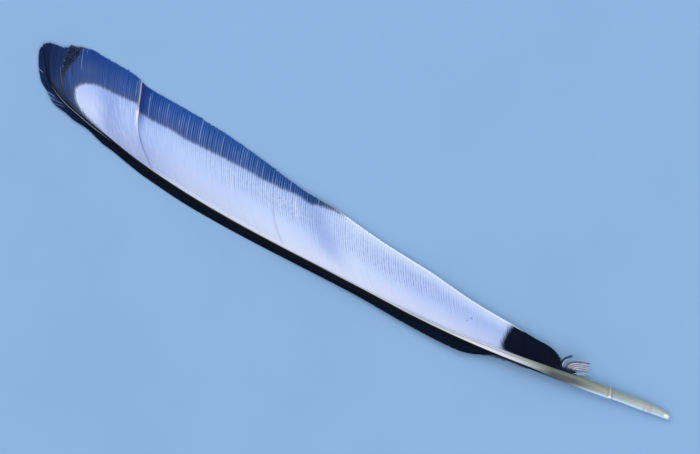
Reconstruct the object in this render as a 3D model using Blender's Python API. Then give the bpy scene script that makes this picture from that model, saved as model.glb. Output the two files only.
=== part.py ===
"""A magpie's flight feather lying on a table, upper side up, as one solid: the quill, the two vanes that
grow from it as a row of overlapping locks of barbs, and the downy curls at the foot of the broad vane.

Shapes are set in millimetres in the feather's own plan. Its first number is the distance from the tip along
the straight line from tip to quill end. Its second is the distance to the side of that line, positive
towards the narrow, leading vane. In the finished frame +X points to the tip, +Y to the leading vane and +Z
up."""

import math

import bmesh
import bpy
import numpy as np
from mathutils import Vector

MM = 0.001

# Driving dimensions
LENGTH = 165.0
X_OF_TIP = 82.475
SIDE_OF_MIDDLE = 3.85
VANE_START = 0.5
VANE_END = 139.6
SHEET = 0.45
LOCKS = 52
LOCK_STEP = 0.2
LOCK_GAP = 0.04
SPLIT_AT = 35.9
SPLIT_STEP = 0.35
SPLIT_REACH = 3.0
# Locks are narrower than their fellows by this share at the tip and at the foot of the vanes
END_CROWDING = 0.4
# The locks' relief is full from this far off the tip and the foot, and from this share of a barb on
RELIEF_FROM_TIP = 12.0
RELIEF_FROM_FOOT = 8.0
RELIEF_SHARE = 0.33

# Angle between barb and shaft where the barb leaves, in degrees, at this distance from the tip
INNER_ANGLE = (
    (VANE_START, 6.0), (6.0, 16.0), (10.0, 25.0), (16.0, 28.0), (22.0, 27.5), (36.0, 26.5), (50.0, 30.0),
    (64.0, 32.0), (80.0, 32.0), (VANE_END, 32.0),
)
OUTER_ANGLE = ((VANE_START, 4.0), (10.0, 8.0), (20.0, 11.0), (30.0, 12.0), (40.0, 12.0), (VANE_END, 12.0))
# How much of a barb's length its knee lies from its root
INNER_BEND = 0.52
OUTER_BEND = 0.4
INNER_COLUMNS = 10
OUTER_COLUMNS = 3

# Centre line of the shaft: distance from the tip, side
SHAFT_LINE = (
    (0.0, -0.8), (0.3, -0.5), (1.4, 0.6), (2.3, 1.75), (3.6, 3.3), (5.0, 4.75), (5.8, 5.35), (7.3, 6.1),
    (9.1, 6.85), (11.3, 7.55), (13.6, 8.02), (18.1, 8.82), (22.6, 9.45), (29.4, 10.55), (36.2, 11.2),
    (45.3, 11.68), (56.6, 11.8), (67.9, 11.47), (79.2, 11.0), (90.5, 10.45), (101.8, 9.72), (113.2, 8.65),
    (124.5, 7.0), (135.8, 5.1), (147.1, 3.05), (158.4, 1.15), (163.0, 0.5), (LENGTH, 0.38),
)
# Distance from the tip, diameter of the shaft
SHAFT_WIDTH = (
    (0.0, 0.16), (5.8, 0.4), (9.1, 0.55), (13.6, 0.66), (22.6, 0.76), (45.3, 0.98), (67.9, 1.18),
    (90.5, 1.36), (113.2, 1.6), (124.5, 1.85), (135.8, 2.2), (142.0, 2.47), (147.1, 2.56), (149.8, 2.5),
    (151.5, 2.3), (158.4, 2.2), (160.7, 2.06), (163.0, 1.76), (LENGTH, 1.4),
)
# Distance from the tip, height of the shaft's centre above the table
SHAFT_HEIGHT = (
    (0.5, 0.4), (11.3, 0.75), (22.6, 0.95), (45.3, 1.0), (56.6, 1.1), (67.9, 1.35), (90.5, 1.95),
    (113.2, 2.4), (124.5, 2.45), (135.8, 2.3), (150.5, 1.75), (158.4, 1.2), (LENGTH, 0.74),
)
# Edge of the broad vane: distance from the tip, side
INNER_EDGE = (
    (-0.15, -0.9), (0.05, -1.6), (0.45, -2.15), (1.1, -2.55), (1.8, -2.8), (2.7, -2.92), (3.6, -3.12),
    (4.5, -3.4), (5.0, -3.8), (5.6, -4.5), (6.8, -4.95), (7.9, -5.45), (9.1, -5.72), (10.2, -5.98),
    (11.3, -6.1), (12.7, -6.0), (15.8, -6.0), (18.1, -6.05), (20.4, -6.0), (22.6, -5.7), (24.2, -5.2),
    (25.6, -5.0), (29.4, -4.97), (33.0, -5.0), (38.5, -5.0), (41.9, -4.85), (45.3, -4.8), (49.8, -4.42),
    (54.3, -4.02), (57.7, -3.64), (61.1, -3.17), (65.6, -2.72), (67.9, -2.52), (72.0, -2.45), (76.0, -2.45),
    (78.1, -2.3), (83.7, -1.75), (90.5, -1.27), (96.0, -1.08), (101.8, -0.92), (107.5, -0.42),
    (113.2, -0.02), (123.3, 0.08), (130.1, 0.18), (133.5, 0.15), (135.8, 0.72), (136.9, 1.35), (137.8, 2.2),
    (139.2, 3.6),
)
# Edge of the narrow vane, which runs out inside the shaft at its foot: distance from the tip, side
OUTER_EDGE = (
    (-0.15, 0.2), (0.1, 0.9), (0.45, 1.6), (1.1, 2.75), (1.8, 3.8), (2.7, 4.93), (3.6, 5.9), (4.5, 6.5),
    (5.6, 7.05), (6.8, 7.9), (7.9, 8.65), (9.1, 9.05), (10.2, 9.25), (11.3, 9.33), (12.0, 9.4),
    (13.6, 9.78), (15.8, 9.98), (18.1, 10.08), (20.4, 10.65), (22.6, 11.2), (25.6, 11.56), (29.4, 12.22),
    (33.9, 12.88), (38.5, 13.28), (45.3, 13.7), (54.3, 13.7), (67.9, 13.22), (74.0, 12.9), (90.5, 12.15),
    (101.8, 12.1), (107.5, 11.95), (113.2, 11.6), (116.5, 11.2), (118.8, 10.5), (121.1, 9.5), (123.4, 8.75),
    (126.7, 8.0), (130.0, 7.2), (139.2, 4.9),
)
# Root of a barb's distance from the tip, how much nearer the tip the barb ends
INNER_SWEEP = (
    (VANE_START, 0.62), (1.2, 1.3), (2.3, 2.1), (4.5, 3.8), (6.8, 5.0), (9.1, 5.9), (11.3, 7.3),
    (13.6, 8.8), (18.1, 10.4), (22.6, 11.4), (29.4, 12.0), (36.2, 12.2), (50.0, 12.0), (71.0, 11.2),
    (90.5, 10.6), (101.8, 9.6), (113.2, 8.4), (126.7, 6.2), (133.5, 3.9), (VANE_END, 0.5),
)
OUTER_SWEEP = (
    (VANE_START, 0.62), (2.3, 1.85), (5.0, 3.2), (8.0, 4.4), (11.0, 5.2), (13.6, 5.0), (22.6, 4.6),
    (45.3, 4.5), (90.5, 4.5), (108.6, 5.0), (118.0, 4.8), (124.5, 3.6), (128.5, 2.6), (132.0, 2.0),
    (134.0, 1.4), (VANE_END, 0.5),
)
# Distance from the tip, height of the middle of the sheet along each edge, and its bulge between shaft and
# edge
INNER_EDGE_HEIGHT = (
    (0.2, 0.42), (6.0, 0.3), (11.3, 0.2), (26.0, 0.2), (45.3, 0.42), (67.9, 0.85), (90.5, 1.35),
    (113.2, 1.9), (139.2, 2.3),
)
OUTER_EDGE_HEIGHT = (
    (0.1, 0.42), (15.0, 0.5), (30.0, 0.34), (40.0, 0.2), (64.0, 0.2), (80.0, 0.6), (101.8, 1.25),
    (139.2, 2.2),
)
INNER_BULGE = (
    (VANE_START, 0.02), (9.5, 0.3), (22.6, 0.9), (45.3, 1.35), (90.5, 1.35), (113.2, 1.05), (130.0, 0.5),
    (VANE_END, 0.05),
)
OUTER_BULGE = 0.12

# The quill
QUILL_RING_AT = 150.3
QUILL_RING_RISE = 0.1
QUILL_RING_LENGTH = 0.5
QUILL_MOUTH_RADIUS = 0.42
QUILL_MOUTH_DEPTH = 2.2
SHAFT_STEPS = 46
SHAFT_SIDES = 12
# Under 1 the steps along the shaft are shorter towards the quill
SHAFT_CROWDING = 0.8

# Downy curls at the foot of the broad vane. Each is a root and three more points: distance from the tip,
# side, height
CURL_RADIUS = 0.22
CURL_TAPER = 0.6
CURL_STEPS = 9
CURL_SIDES = 6
CURLS = (
    ((137.6, 3.7, 2.5), (137.3, 1.6, 2.9), (137.65, 0.5, 3.1), (138.4, -0.5, 2.9)),
    ((138.9, 3.6, 2.5), (139.0, 1.1, 2.9), (140.7, -0.2, 3.1), (143.0, -1.0, 2.8)),
    ((139.6, 3.5, 2.5), (139.75, 1.4, 2.85), (141.1, 0.3, 2.95), (143.2, -0.35, 2.7)),
    ((140.3, 3.4, 2.5), (140.5, 1.7, 2.75), (141.5, 0.85, 2.85), (143.4, 0.3, 2.6)),
    ((141.0, 3.2, 2.4), (141.3, 2.0, 2.65), (142.2, 1.45, 2.7), (144.2, 1.0, 2.35)),
)

# Colours as linear red, green, blue
WHITE_VANE = (0.55, 0.62, 0.86)
SLATE_VANE = (0.045, 0.085, 0.24)
BLACK_VANE = (0.006, 0.01, 0.018)
HORN = (0.38, 0.39, 0.31)
DOWN = (0.27, 0.25, 0.24)

# The white field of the broad vane: distance from the tip, side of the line where the slate border begins
WHITE_LIMIT = (
    (11.4, 3.5), (12.3, 1.85), (15.0, 0.5), (22.6, -0.2), (24.6, -0.5), (27.4, 1.0), (38.5, 0.9),
    (49.8, 0.15), (60.0, -0.1), (67.9, -0.7), (72.0, -1.15), (77.0, -2.2), (80.0, -4.0),
)
WHITE_START = 11.4
WHITE_TO_EDGE = 78.0
WHITE_END = 123.8
# From here on the shaft's top is pale, and what stands off it on the broad vane's side is down
HORN_START = 126.0
DOWN_START = 137.0


def curve_through(points):
    """A smooth curve through points in order of their first number, as a function of it."""
    x, y = np.array(points, float).T
    step = np.diff(x)
    rise = np.diff(y) / step
    slope = np.concatenate(
        ([rise[0]], (rise[:-1] * step[1:] + rise[1:] * step[:-1]) / (step[:-1] + step[1:]), [rise[-1]])
    )

    def at(where):
        where = np.clip(where, x[0], x[-1])
        i = np.clip(np.searchsorted(x, where, side="right") - 1, 0, len(step) - 1)
        t = (where - x[i]) / step[i]
        return (
            y[i] * (1 + 2 * t) * (1 - t) ** 2
            + slope[i] * step[i] * t * (1 - t) ** 2
            + y[i + 1] * t * t * (3 - 2 * t)
            + slope[i + 1] * step[i] * t * t * (t - 1)
        )

    return at


shaft_side = curve_through(SHAFT_LINE)
shaft_width = curve_through(SHAFT_WIDTH)
shaft_height = curve_through(SHAFT_HEIGHT)
inner_bulge = curve_through(INNER_BULGE)
white_limit = curve_through(WHITE_LIMIT)
VANES = {
    "inner": (
        curve_through(INNER_EDGE), curve_through(INNER_SWEEP), curve_through(INNER_EDGE_HEIGHT),
        curve_through(INNER_ANGLE), 1, INNER_BEND,
    ),
    "outer": (
        curve_through(OUTER_EDGE), curve_through(OUTER_SWEEP), curve_through(OUTER_EDGE_HEIGHT),
        curve_through(OUTER_ANGLE), -1, OUTER_BEND,
    ),
}


def placed(distance, side, height):
    """A point of the plan in the finished frame, in metres."""
    return Vector(((X_OF_TIP - distance) * MM, (side - SIDE_OF_MIDDLE) * MM, height * MM))


def clear_scene():
    for obj in list(bpy.data.objects):
        bpy.data.objects.remove(obj)


def collection_named(name):
    made = bpy.data.collections.new(name)
    bpy.context.scene.collection.children.link(made)
    return made


def material_named(name, colour, roughness):
    made = bpy.data.materials.new(name)
    made.use_nodes = True
    shader = made.node_tree.nodes["Principled BSDF"]
    shader.inputs["Base Color"].default_value = (*colour, 1)
    shader.inputs["Roughness"].default_value = roughness
    shader.inputs["Metallic"].default_value = 0
    return made


def object_from(name, bm, collection):
    mesh = bpy.data.meshes.new(name)
    bm.to_mesh(mesh)
    bm.free()
    made = bpy.data.objects.new(name, mesh)
    collection.objects.link(made)
    return made


def barb_point(root, vane, share):
    """The point of a barb at this share of its length: distance from the tip, side, height."""
    edge, sweep, edge_height, leaving_angle, turn, bend = VANES[vane]
    angle = turn * math.radians(leaving_angle(root))
    start = np.array((root, shaft_side(root)))
    towards_tip = start - np.array((root + 0.2, shaft_side(root + 0.2)))
    towards_tip /= np.linalg.norm(towards_tip)
    end_at = root - sweep(root)
    end = np.array((end_at, edge(end_at)))
    leaving = np.array(
        (
            towards_tip[0] * math.cos(angle) - towards_tip[1] * math.sin(angle),
            towards_tip[0] * math.sin(angle) + towards_tip[1] * math.cos(angle),
        )
    )
    knee = start + bend * np.linalg.norm(end - start) * leaving
    plan = start * (1 - share) ** 2 + knee * 2 * share * (1 - share) + end * share**2
    start_height = shaft_height(root) + 0.1 * shaft_width(root)
    bulge = inner_bulge(root) if vane == "inner" else OUTER_BULGE
    height = start_height + (edge_height(end_at) - start_height) * share + bulge * 4 * share * (1 - share)
    return float(plan[0]), float(plan[1]), float(height)


def lock_border(number):
    """The root between one lock of barbs and the next, counted from the tip."""
    share = number / LOCKS
    share -= END_CROWDING / math.tau * math.sin(math.tau * share)
    return VANE_START + (VANE_END - VANE_START) * share


def lock_relief(root, rank, vane, share):
    """The height that a lock's quill side, rank 1, has over its middle, and its tip side, rank 0, under it."""
    fade = min(1.0, root / RELIEF_FROM_TIP, (VANE_END - root) / RELIEF_FROM_FOOT)
    relief = LOCK_STEP * (rank - 0.5) * fade
    if vane == "inner" and abs(root - SPLIT_AT) < SPLIT_REACH:
        lift = 1 if root < SPLIT_AT else -1
        relief += 0.5 * SPLIT_STEP * lift * (1 - abs(root - SPLIT_AT) / SPLIT_REACH)
    return relief * min(1.0, share / RELIEF_SHARE)


def vane_sheet(collection):
    """Both vanes as one sheet, whose rows follow the barbs and whose columns run along the feather."""
    rows = []
    for lock in range(LOCKS):
        low, high = lock_border(lock), lock_border(lock + 1)
        gap = LOCK_GAP * (high - low)
        rows.append((low + gap, 0))
        rows.append((high - gap, 1))
    columns = [("outer", 1 - i / OUTER_COLUMNS) for i in range(OUTER_COLUMNS)]
    columns += [("inner", i / INNER_COLUMNS) for i in range(INNER_COLUMNS + 1)]
    bm = bmesh.new()
    bmesh.ops.create_grid(bm, x_segments=len(rows) - 1, y_segments=len(columns) - 1, size=1)
    ordered = sorted(bm.verts, key=lambda v: (round(v.co.x, 5), round(v.co.y, 5)))
    for i, vert in enumerate(ordered):
        root, rank = rows[i // len(columns)]
        vane, share = columns[i % len(columns)]
        distance, side, height = barb_point(root, vane, share)
        height += lock_relief(root, rank, vane, share)
        vert.co = placed(distance, side, height + SHEET / 2)
    bmesh.ops.recalc_face_normals(bm, faces=bm.faces)
    underside = bmesh.ops.extrude_face_region(bm, geom=list(bm.faces))["geom"]
    moved = [g for g in underside if isinstance(g, bmesh.types.BMVert)]
    bmesh.ops.translate(bm, verts=moved, vec=(0, 0, -SHEET * MM))
    bmesh.ops.recalc_face_normals(bm, faces=bm.faces)
    return object_from("vane_sheet", bm, collection)


def tube(name, points, radii, collection, sides):
    """A tapering tube along the points, as a closed mesh."""
    data = bpy.data.curves.new(name, "CURVE")
    data.dimensions = "3D"
    data.bevel_depth = MM
    data.bevel_resolution = sides // 2 - 2
    data.use_fill_caps = True
    spline = data.splines.new("POLY")
    spline.points.add(len(points) - 1)
    for held, point, radius in zip(spline.points, points, radii):
        held.co = (*point, 1)
        held.radius = radius
    drawn = bpy.data.objects.new(name + "_line", data)
    collection.objects.link(drawn)
    bpy.context.view_layer.update()
    mesh = bpy.data.meshes.new_from_object(drawn.evaluated_get(bpy.context.evaluated_depsgraph_get()))
    bm = bmesh.new()
    bm.from_mesh(mesh)
    bmesh.ops.remove_doubles(bm, verts=bm.verts, dist=1e-7)
    bmesh.ops.recalc_face_normals(bm, faces=bm.faces)
    bpy.data.objects.remove(drawn)
    bpy.data.meshes.remove(mesh)
    return object_from(name, bm, collection)


def shaft_solid(collection):
    """The quill and the rachis in one taper, with the ring where the quill was held by the skin."""
    stations = list(VANE_START + (LENGTH - VANE_START) * np.linspace(0, 1, SHAFT_STEPS) ** SHAFT_CROWDING)
    stations += [QUILL_RING_AT + k * QUILL_RING_LENGTH for k in (-1, 0, 1)]
    points = []
    radii = []
    for at in sorted(stations):
        points.append(placed(at, shaft_side(at), shaft_height(at)))
        ring = QUILL_RING_RISE if abs(at - QUILL_RING_AT) < 0.1 else 0
        radii.append(shaft_width(at) / 2 + ring)
    return tube("shaft", points, radii, collection, SHAFT_SIDES)


def curl_solid(index, points, collection):
    """One downy curl, a tapering tube on a smooth line through its points."""
    number = np.arange(len(points))
    lines = [curve_through(np.column_stack((number, axis))) for axis in np.array(points).T]
    along = np.linspace(0, len(points) - 1, CURL_STEPS)
    path = [placed(*(float(line(t)) for line in lines)) for t in along]
    radii = [CURL_RADIUS * (1 - CURL_TAPER * t / along[-1]) for t in along]
    return tube(f"curl_{index}", path, radii, collection, CURL_SIDES)


def quill_mouth(collection):
    """The small hole that the quill's end has, as a cutter on the quill's axis."""
    outer = placed(LENGTH, shaft_side(LENGTH), shaft_height(LENGTH))
    inner = placed(LENGTH - 3, shaft_side(LENGTH - 3), shaft_height(LENGTH - 3))
    axis = (outer - inner).normalized()
    bm = bmesh.new()
    bmesh.ops.create_cone(
        bm,
        cap_ends=True,
        segments=10,
        radius1=QUILL_MOUTH_RADIUS * MM,
        radius2=QUILL_MOUTH_RADIUS * MM,
        depth=2 * QUILL_MOUTH_DEPTH * MM,
    )
    made = object_from("quill_mouth", bm, collection)
    made.rotation_euler = axis.to_track_quat("Z", "Y").to_euler()
    made.location = outer
    return made


def table_cutter(collection):
    """Everything below the table top, so that what touches it is flat."""
    depth = 5 * MM
    bm = bmesh.new()
    bmesh.ops.create_cube(bm, size=1)
    bmesh.ops.scale(bm, verts=bm.verts, vec=(1.2 * LENGTH * MM, 40 * MM, depth))
    bmesh.ops.translate(bm, verts=bm.verts, vec=(0, 0, -depth / 2))
    return object_from("table", bm, collection)


def combine(target, other, operation, solver="EXACT"):
    """Applies a Boolean of other on target, and hides other, which is then only a helper."""
    modifier = target.modifiers.new(operation.lower(), "BOOLEAN")
    modifier.operation = operation
    modifier.solver = solver
    modifier.object = other
    bpy.context.view_layer.update()
    graph = bpy.context.evaluated_depsgraph_get()
    result = bpy.data.meshes.new_from_object(target.evaluated_get(graph))
    target.modifiers.clear()
    old = target.data
    target.data = result
    bpy.data.meshes.remove(old)
    other.hide_render = True
    other.hide_set(True)
    other.display_type = "WIRE"


def face_material(centre):
    """Which of the feather's materials a face wears, by where its middle is."""
    distance = X_OF_TIP - centre.x / MM
    side = centre.y / MM + SIDE_OF_MIDDLE
    from_shaft = side - shaft_side(distance)
    if distance > DOWN_START and from_shaft < -shaft_width(distance) / 2 - 0.1:
        return "down"
    if distance > HORN_START and abs(from_shaft) < shaft_width(distance) / 2 + 0.15:
        return "horn"
    if from_shaft > -0.4:
        return "black_vane"
    if distance > WHITE_END:
        return "black_vane"
    if distance > WHITE_START and (distance > WHITE_TO_EDGE or side > white_limit(distance)):
        return "white_vane"
    return "slate_vane"


def dress(feather):
    """Gives the feather its materials and paints its faces."""
    finishes = {
        "white_vane": (WHITE_VANE, 0.55),
        "slate_vane": (SLATE_VANE, 0.45),
        "black_vane": (BLACK_VANE, 0.4),
        "horn": (HORN, 0.35),
        "down": (DOWN, 0.9),
    }
    feather.data.materials.clear()
    for name, (colour, roughness) in finishes.items():
        feather.data.materials.append(material_named(name, colour, roughness))
    order = list(finishes)
    for face in feather.data.polygons:
        face.material_index = order.index(face_material(face.center))
    feather.data.shade_smooth()
    feather.data.set_sharp_from_angle(angle=math.radians(40))


def build():
    clear_scene()
    parts = collection_named("magpie_flight_feather")
    helpers = collection_named("helpers")
    feather = shaft_solid(parts)
    feather.name = "feather"
    # The exact solver loses the sheet where the shaft runs out in it at the tip
    combine(feather, vane_sheet(helpers), "UNION", solver="MANIFOLD")
    for index, points in enumerate(CURLS):
        combine(feather, curl_solid(index, points, helpers), "UNION")
    combine(feather, quill_mouth(helpers), "DIFFERENCE")
    combine(feather, table_cutter(helpers), "DIFFERENCE")
    dress(feather)


build()
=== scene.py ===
"""A magpie's flight feather barb by barb, in place of the solid that carries its shape.

Shapes are set in millimetres in the feather's own plan, as distance from the tip along the straight line from
tip to quill end, and side of that line, positive towards the leading vane. plan_to_frame() puts them in the
frame, where +X points to the tip, +Y to the leading vane and +Z up."""

import math

import bpy
import numpy as np
from mathutils import Matrix, Vector


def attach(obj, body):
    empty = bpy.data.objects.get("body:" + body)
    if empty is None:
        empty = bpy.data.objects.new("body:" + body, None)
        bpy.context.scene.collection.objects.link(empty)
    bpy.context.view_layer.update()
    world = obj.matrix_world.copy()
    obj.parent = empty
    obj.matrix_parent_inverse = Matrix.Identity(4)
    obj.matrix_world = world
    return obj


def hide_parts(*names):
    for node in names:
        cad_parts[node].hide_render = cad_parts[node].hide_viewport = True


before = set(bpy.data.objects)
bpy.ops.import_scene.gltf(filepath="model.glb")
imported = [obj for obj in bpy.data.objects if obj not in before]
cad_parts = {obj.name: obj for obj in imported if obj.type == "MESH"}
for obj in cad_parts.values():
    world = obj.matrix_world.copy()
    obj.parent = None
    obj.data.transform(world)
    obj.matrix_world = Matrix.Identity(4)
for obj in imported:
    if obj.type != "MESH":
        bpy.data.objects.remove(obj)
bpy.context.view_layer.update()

MM = 0.001
SEED = 7

# The feather's length, where its tip and the frame's line Y = 0 lie, and where its vanes begin and end
LENGTH = 165.0
X_OF_TIP = 82.475
SIDE_OF_MIDDLE = 3.85
VANE_START = 0.5
VANE_END = 139.6

# Centre line of the shaft: distance from the tip, side
SHAFT_LINE = (
    (0, -0.8), (0.3, -0.5), (1.4, 0.6), (2.3, 1.75), (3.6, 3.3), (5, 4.75), (5.8, 5.35), (7.3, 6.1),
    (9.1, 6.85), (11.3, 7.55), (13.6, 8.02), (18.1, 8.82), (22.6, 9.45), (29.4, 10.55), (36.2, 11.2),
    (45.3, 11.68), (56.6, 11.8), (67.9, 11.47), (79.2, 11), (90.5, 10.45), (101.8, 9.72), (113.2, 8.65),
    (124.5, 7), (135.8, 5.1), (147.1, 3.05), (158.4, 1.15), (163, 0.5), (LENGTH, 0.38),
)
# Distance from the tip, diameter of the shaft
SHAFT_WIDTH = (
    (0, 0.16), (5.8, 0.4), (9.1, 0.55), (13.6, 0.66), (22.6, 0.76), (45.3, 0.98), (67.9, 1.18),
    (90.5, 1.36), (113.2, 1.6), (124.5, 1.85), (135.8, 2.2), (142, 2.47), (147.1, 2.56), (149.8, 2.5),
    (151.5, 2.3), (158.4, 2.2), (160.7, 2.06), (163, 1.76), (LENGTH, 1.4),
)
# Distance from the tip, height of the shaft's centre above the table
SHAFT_HEIGHT = (
    (0.5, 0.4), (11.3, 0.75), (22.6, 0.95), (45.3, 1), (56.6, 1.1), (67.9, 1.35), (90.5, 1.95),
    (113.2, 2.4), (124.5, 2.45), (135.8, 2.3), (150.5, 1.75), (158.4, 1.2), (LENGTH, 0.74),
)
# Edge of the broad vane: distance from the tip, side
INNER_EDGE = (
    (-0.15, -0.9), (0.05, -1.6), (0.45, -2.15), (1.1, -2.55), (1.8, -2.8), (2.7, -2.92), (3.6, -3.12),
    (4.5, -3.4), (5, -3.8), (5.6, -4.5), (6.8, -4.95), (7.9, -5.45), (9.1, -5.72), (10.2, -5.98),
    (11.3, -6.1), (12.7, -6), (15.8, -6), (18.1, -6.05), (20.4, -6), (22.6, -5.7), (24.2, -5.2), (25.6, -5),
    (29.4, -4.97), (33, -5), (38.5, -5), (41.9, -4.85), (45.3, -4.8), (49.8, -4.42), (54.3, -4.02),
    (57.7, -3.64), (61.1, -3.17), (65.6, -2.72), (67.9, -2.52), (72, -2.45), (76, -2.45), (78.1, -2.3),
    (83.7, -1.75), (90.5, -1.27), (96, -1.08), (101.8, -0.92), (107.5, -0.42), (113.2, -0.02),
    (123.3, 0.08), (130.1, 0.18), (133.5, 0.15), (135.8, 0.72), (136.9, 1.35), (137.8, 2.2), (139.2, 3.6),
)
# Edge of the narrow vane, which runs out inside the shaft at its foot: distance from the tip, side
OUTER_EDGE = (
    (-0.15, 0.2), (0.1, 0.9), (0.45, 1.6), (1.1, 2.75), (1.8, 3.8), (2.7, 4.93), (3.6, 5.9), (4.5, 6.5),
    (5.6, 7.05), (6.8, 7.9), (7.9, 8.65), (9.1, 9.05), (10.2, 9.25), (11.3, 9.33), (12, 9.4), (13.6, 9.78),
    (15.8, 9.98), (18.1, 10.08), (20.4, 10.65), (22.6, 11.2), (25.6, 11.56), (29.4, 12.22), (33.9, 12.88),
    (38.5, 13.28), (45.3, 13.7), (54.3, 13.7), (67.9, 13.22), (74, 12.9), (90.5, 12.15), (101.8, 12.1),
    (107.5, 11.95), (113.2, 11.6), (116.5, 11.2), (118.8, 10.5), (121.1, 9.5), (123.4, 8.75), (126.7, 8),
    (130, 7.2), (139.2, 4.9),
)
# Root of a barb's distance from the tip, how much nearer the tip the barb ends
INNER_SWEEP = (
    (0, 0.12), (VANE_START, 0.62), (1.2, 1.3), (2.3, 2.1), (4.5, 3.8), (6.8, 5), (9.1, 5.9), (11.3, 7.3),
    (13.6, 8.8), (18.1, 10.4), (22.6, 11.4), (29.4, 12), (36.2, 12.2), (50, 12), (71, 11.2), (90.5, 10.6),
    (101.8, 9.6), (113.2, 8.4), (126.7, 6.2), (133.5, 3.9), (VANE_END, 0.5),
)
OUTER_SWEEP = (
    (0, 0.12), (VANE_START, 0.62), (2.3, 1.85), (5, 3.2), (8, 4.4), (11, 5.2), (13.6, 5), (22.6, 4.6),
    (45.3, 4.5), (90.5, 4.5), (108.6, 5), (118, 4.8), (124.5, 3.6), (128.5, 2.6), (132, 2), (134, 1.4),
    (VANE_END, 0.5),
)
# Distance from the tip, how far apart the barbs stand along the shaft
INNER_SPACING = (
    (0, 0.16), (VANE_START, 0.18), (6, 0.3), (14, 0.42), (30, 0.5), (40, 0.53), (52, 0.55), (66, 0.555),
    (80, 0.56), (98, 0.575), (108, 0.61), (116, 0.6), (123, 0.54), (127, 0.46), (130, 0.38), (134, 0.26),
    (VANE_END, 0.24),
)
OUTER_SPACING = (
    (0, 0.15), (VANE_START, 0.17), (6, 0.24), (14, 0.34), (24, 0.42), (34, 0.42), (VANE_END, 0.42),
)
# Distance from the tip, height along each edge, and each vane's bulge between shaft and edge
INNER_EDGE_HEIGHT = (
    (0.2, 0.42), (6, 0.3), (11.3, 0.2), (26, 0.2), (45.3, 0.42), (67.9, 0.85), (90.5, 1.35), (113.2, 1.9),
    (139.2, 2.3),
)
OUTER_EDGE_HEIGHT = (
    (0.1, 0.42), (15, 0.5), (30, 0.34), (40, 0.2), (64, 0.2), (80, 0.6), (101.8, 1.25), (139.2, 2.2),
)
INNER_BULGE = (
    (VANE_START, 0.02), (9.5, 0.3), (22.6, 0.9), (45.3, 1.35), (90.5, 1.35), (113.2, 1.05), (130, 0.5),
    (VANE_END, 0.05),
)
OUTER_BULGE = ((0, 0.12), (LENGTH, 0.12))
# Distance from the tip, angle in degrees between barb and shaft where the barb leaves
INNER_ANGLE = (
    (VANE_START, 6), (6, 16), (10, 25), (16, 28), (22, 27.5), (36, 26.5), (50, 30), (64, 32), (80, 32),
    (VANE_END, 32),
)
OUTER_ANGLE = ((VANE_START, 4), (10, 8), (20, 11), (30, 12), (40, 12), (VANE_END, 12))
# How much of a barb's length its knee lies from its root
INNER_BEND = 0.52
OUTER_BEND = 0.4

# A barb starts at these shares of the shaft's width beside and above its middle
ROOT_SIDE = 0.36
ROOT_HEIGHT = 0.1
# The first root, and how unevenly roots stand, as a share of the spacing
FIRST_ROOT = 0.12
ROOT_SCATTER = 0.06
# Rings along a barb, its half width against half the gap to its neighbours, and its half thickness
INNER_STEPS = 49
INNER_OVERLAP = 1.25
INNER_DEPTH = 0.05
OUTER_STEPS = 23
OUTER_OVERLAP = 1.3
OUTER_DEPTH = 0.055
# A barb's end is cut as if the edge crossed it at this sine at least, and never more slanting than this
LEAST_ACROSS = 0.3
MOST_SLANT = 2.5
# The lowest that the middle of a strip, and any part of the shaft, may lie
LOWEST = 0.06
SHAFT_LOWEST = 0.01
# A strip's outline, as shares of its half width and half thickness: a barb with a ridge, and a round one
BARB_SECTION = ((-1, 0.35), (-0.35, 1), (0.35, 0.8), (1, -0.35), (0.3, -1.2), (-0.3, -1.2))
TUBE_SECTION = tuple((math.cos(math.tau * i / 5), math.sin(math.tau * i / 5)) for i in range(5))
SHARP_FROM = math.radians(50)
# Step along the shaft or an edge over which its direction is taken
STEP = 0.2

# The split in the broad vane: the barbs on its tip side lie over those on its quill side
SPLIT_AT = 35.9
# Share of a barb's length, how far the barbs beside the split bow towards the quill there
SPLIT_BOW = (
    (0, 0), (0.1, 0.15), (0.2, 0.1), (0.3, -0.08), (0.44, -0.12), (0.57, 0.02), (0.66, 0.24), (0.76, 0.46),
    (0.86, 0.48), (0.94, 0.34), (1, 0.05),
)

# The white field, with its slate border on one side of it and its black foot at its end: distance, side
WHITE_FIELD = (
    (11.4, 3.5), (11.62, 2.65), (12.3, 1.85), (13.4, 1.1), (15, 0.48), (17, 0.16), (19.2, 0.1), (21, -0.05),
    (22.6, -0.2), (24.6, -0.5), (25.3, -0.2), (26.3, 0.75), (27.4, 1), (31.7, 1), (34.5, 0.75),
    (38.5, 0.88), (41.9, 0.65), (45.3, 0.5), (49.8, 0.16), (54.3, 0.02), (57.7, 0.1), (60, -0.12),
    (63.4, -0.35), (65.6, -0.72), (67.9, -0.72), (69.3, -0.5), (70.6, -0.62), (72, -1.15), (73.3, -1.42),
    (74.7, -1.7), (76, -1.97), (77.6, -2.08), (79, -2.6), (85, -8), (124.3, -8), (124.05, 0.1),
    (123.6, 0.9), (123.62, 2.3), (123.62, 3.4), (123.68, 4.4), (124, 5.2), (124.8, 5.8), (126, 5.85),
    (126.8, 5.9), (126.8, 6.9), (125.6, 8.4), (112, 10.5), (90, 12), (60, 13.5), (30, 12.2), (22, 9.3),
    (20, 8.5), (18.1, 8.1), (15.8, 7.4), (14.7, 6.95), (13.6, 6.4), (12.6, 5.62), (11.85, 4.6),
)
# The worn streak across the tip: distance, side of its middle, half its width
WORN_STREAK = (
    (9.5, 6.4, 0.2), (8.6, 5.1, 0.26), (7.5, 3.05, 0.45), (7, 1.35, 0.6), (6.9, 0, 0.75),
    (6.75, -1.1, 1.05), (6.8, -2.3, 1.3), (6.9, -3.4, 1.45), (7.1, -4.4, 1.5),
)
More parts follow.
